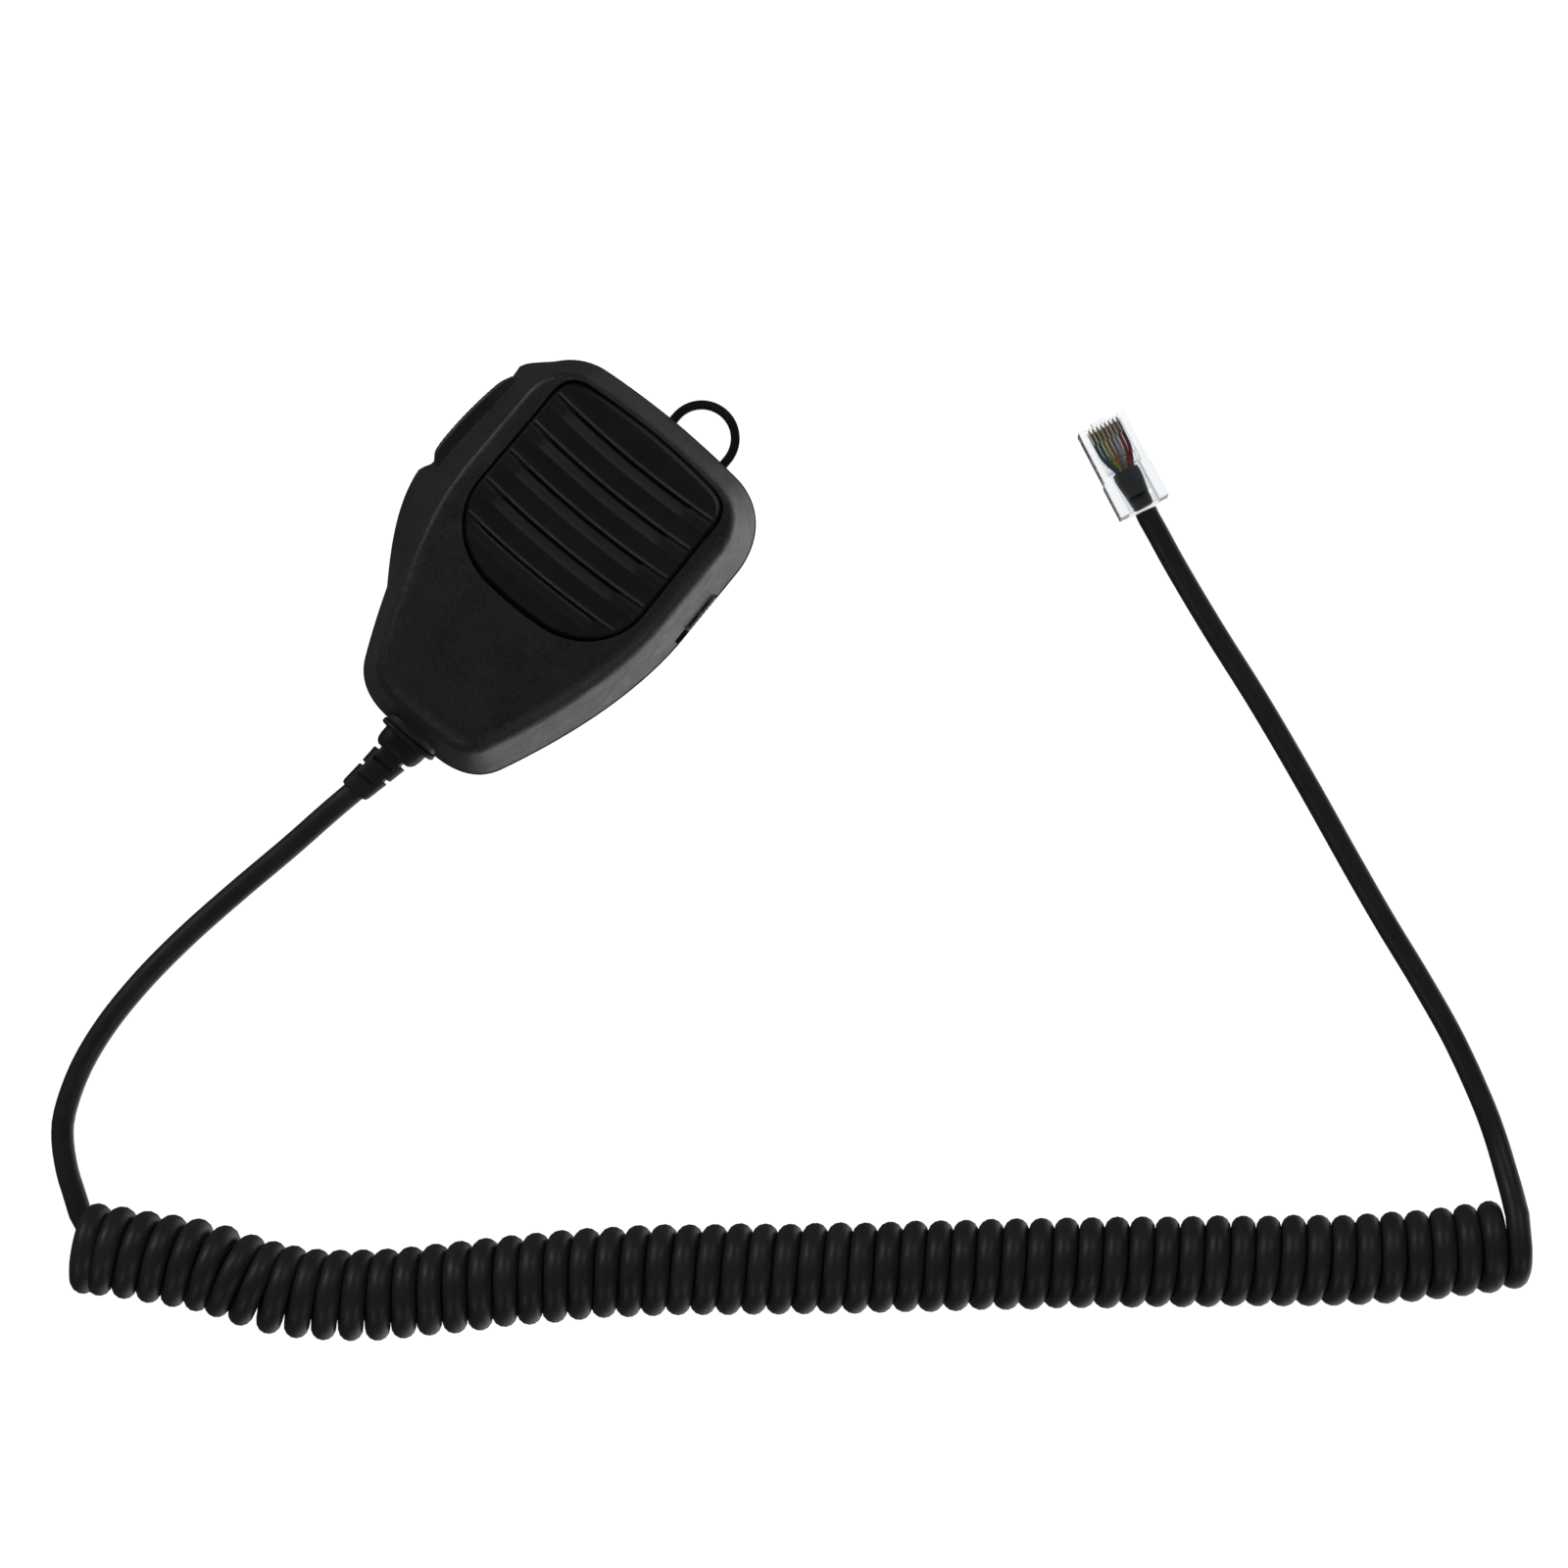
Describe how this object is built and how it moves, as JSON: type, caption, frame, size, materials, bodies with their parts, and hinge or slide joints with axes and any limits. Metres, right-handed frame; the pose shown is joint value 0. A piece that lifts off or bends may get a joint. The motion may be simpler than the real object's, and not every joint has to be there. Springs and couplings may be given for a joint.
{
  "type": "hand microphone",
  "caption": "Radio hand microphone: louvred grille, push-to-talk key, side slider, back hang loop, ribbed strain relief and curly cord to a clear modular plug.",
  "frame": {"origin": "on the flat of the back, under the middle of the microphone body", "axes": "+Z out of the front face; +Y along the body towards the hang loop, away from the cord; +X towards the slide switch"},
  "size_m": [0.3154, 0.3116, 0.0307],
  "materials": {
    "housing": "fine spark-eroded texture, satin",
    "grille": "satin",
    "felt": "matte woven",
    "hanger": "brown-black, semi-gloss",
    "key": "satin",
    "steel": "satin",
    "black_part": "satin",
    "ivory": "satin",
    "slider": "glossy",
    "tin": "satin",
    "board": "solder mask",
    "boot": "matte",
    "cord": "satin",
    "relief": "satin",
    "clear_plastic": "clear, polished",
    "gold": "polished",
    "wire_blue": "satin",
    "wire_green": "satin",
    "wire_yellow": "satin",
    "wire_tan": "satin",
    "wire_grey": "satin",
    "wire_white": "satin",
    "wire_red": "satin",
    "wire_maroon": "satin"
  },
  "bodies": {
    "housing": {"front_shell": "housing", "rear_cover": "housing", "grille_panel": "grille", "case_screw_1": "steel", "case_screw_2": "steel", "case_screw_3": "steel", "hanger_plate": "hanger", "hanger_screw_1": "steel", "hanger_screw_2": "steel", "strain_relief": "relief", "grille_cloth": "felt", "ptt_pin": "steel", "ptt_switch_body": "black_part", "slide_switch_body": "tin", "circuit_board": "board", "board_screw_1": "steel", "board_screw_2": "steel", "mic_capsule": "tin", "capsule_boot": "boot", "capsule_lead_red": "wire_red", "capsule_lead_blue": "wire_blue", "amplifier_chip": "black_part", "capacitor_1": "black_part", "capacitor_2": "black_part", "board_header": "ivory", "lead_connector": "ivory", "inner_wire_1": "wire_red", "inner_wire_2": "wire_white", "inner_wire_3": "wire_yellow", "inner_wire_4": "wire_green", "cord_clamp": "tin", "clamp_screw_1": "steel", "clamp_screw_2": "steel", "cord_inner_end": "cord", "cord_lead_mic": "cord", "cord_curl": "cord", "cord_lead_plug": "cord", "plug_body": "clear_plastic", "plug_jacket": "cord", "plug_contact_1": "gold", "plug_contact_2": "gold", "plug_contact_3": "gold", "plug_contact_4": "gold", "plug_contact_5": "gold", "plug_contact_6": "gold", "plug_contact_7": "gold", "plug_contact_8": "gold", "plug_wire_1": "wire_blue", "plug_wire_2": "wire_green", "plug_wire_3": "wire_yellow", "plug_wire_4": "wire_tan", "plug_wire_5": "wire_grey", "plug_wire_6": "wire_white", "plug_wire_7": "wire_red", "plug_wire_8": "wire_maroon"},
    "ptt_key": {"ptt_key": "key"},
    "ptt_plunger": {"ptt_switch_plunger": "ivory"},
    "slider": {"slide_knob": "slider", "slide_switch_lever": "ivory"},
    "latch": {"plug_latch": "clear_plastic"}
  },
  "joints": [
    {"name": "ptt_press", "type": "hinge", "parent": "housing", "child": "ptt_key", "pos_m": [-0.0296, 0.0285, 0.01], "axis": [0, 0, 1], "range_deg": [0, 3.5], "stiffness_Nm_per_rad": 1, "springref_deg": -1.15},
    {"name": "ptt_plunger_push", "type": "slide", "parent": "housing", "child": "ptt_plunger", "axis": [1, 0, 0], "range_m": [0, 0.0011]},
    {"name": "slider_slide", "type": "slide", "parent": "housing", "child": "slider", "axis": [0, -1, 0], "range_m": [0, 0.003]},
    {"name": "latch_press", "type": "hinge", "parent": "housing", "child": "latch", "pos_m": [0.07697, 0.10903, 0.00074], "axis": [-0.3987, -0.9171, 0], "range_deg": [0, 4.5], "stiffness_Nm_per_rad": 0.3}
  ],
  "couplings": [
    {"joint": "ptt_plunger_push", "follows": "ptt_press", "m_per_rad": 0.0165}
  ]
}
